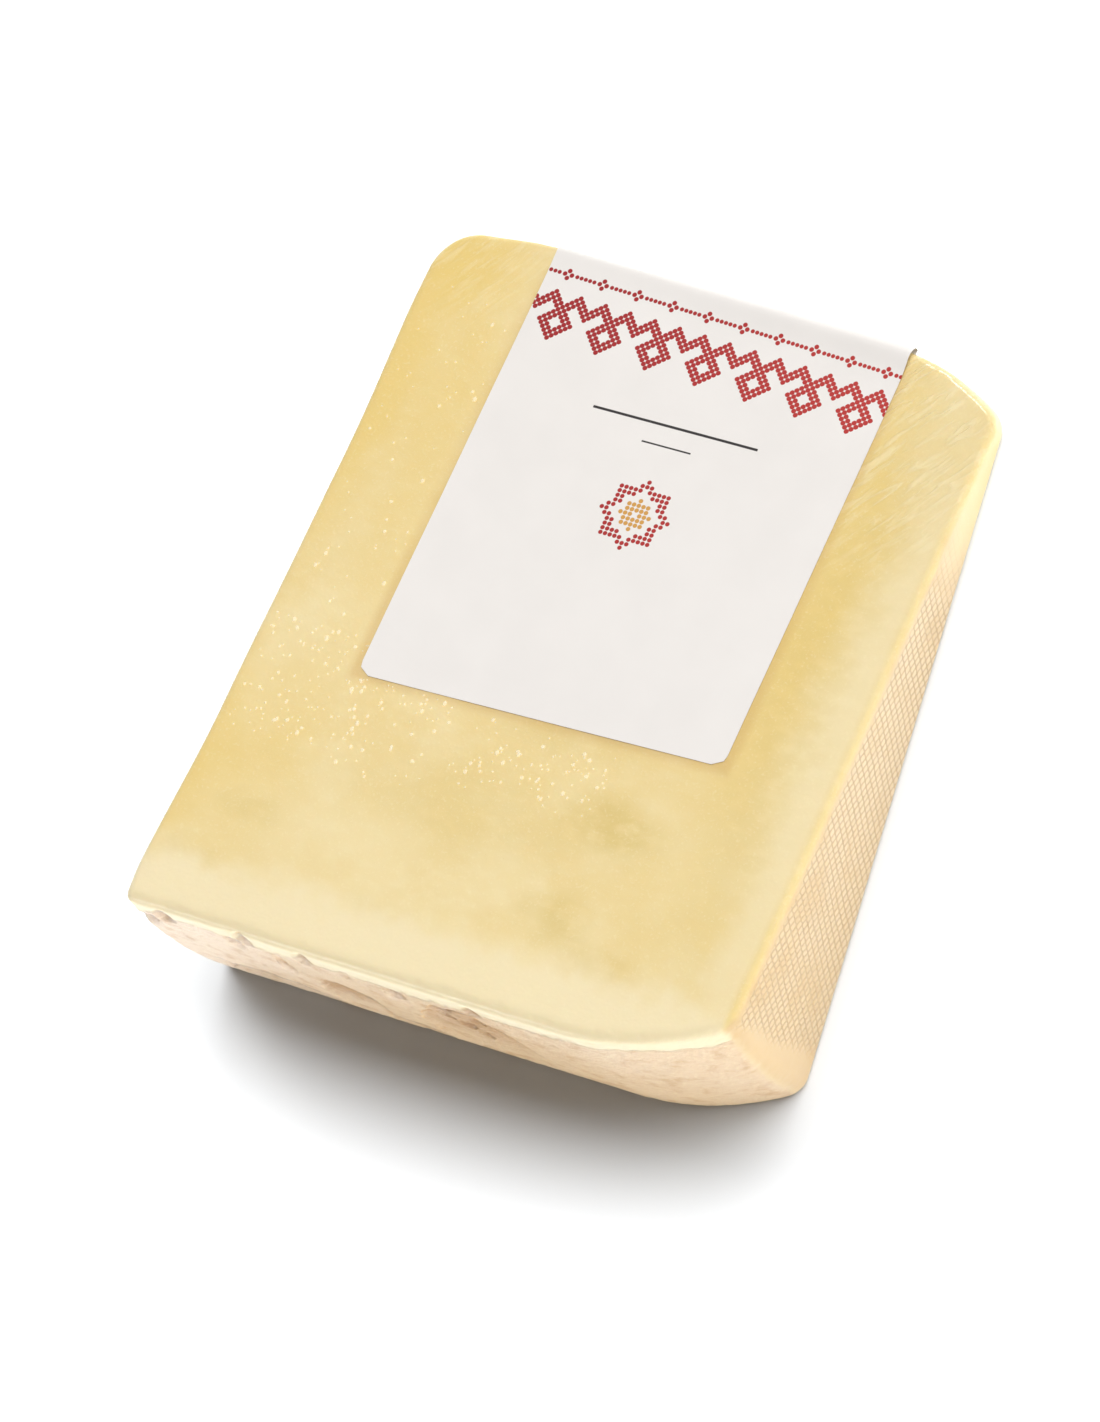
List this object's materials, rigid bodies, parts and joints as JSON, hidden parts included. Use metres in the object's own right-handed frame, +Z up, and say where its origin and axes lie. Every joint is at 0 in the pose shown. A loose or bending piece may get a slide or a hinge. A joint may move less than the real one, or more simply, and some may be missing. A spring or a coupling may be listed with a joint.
{
  "type": "pecorino romano wedge",
  "caption": "Thin wedge of hard sheep's milk cheese in tight clear film, with a cloth-marked flat end, a chipped rind and a paper label folded over its thin edge.",
  "frame": {"origin": "middle of the footprint, on the surface that the wedge lies on", "axes": "+X along the wheel's axis, from the flat cut to the wheel's flat end; +Y from the rind towards the thin edge; +Z up, away from the cut face that the wedge lies on"},
  "size_m": [0.132, 0.1568, 0.049],
  "materials": {
    "cheese": "satin",
    "label": "matte",
    "film": "gloss"
  },
  "bodies": {
    "root": {"cheese": "cheese", "label": "label"}
  },
  "joints": []
}
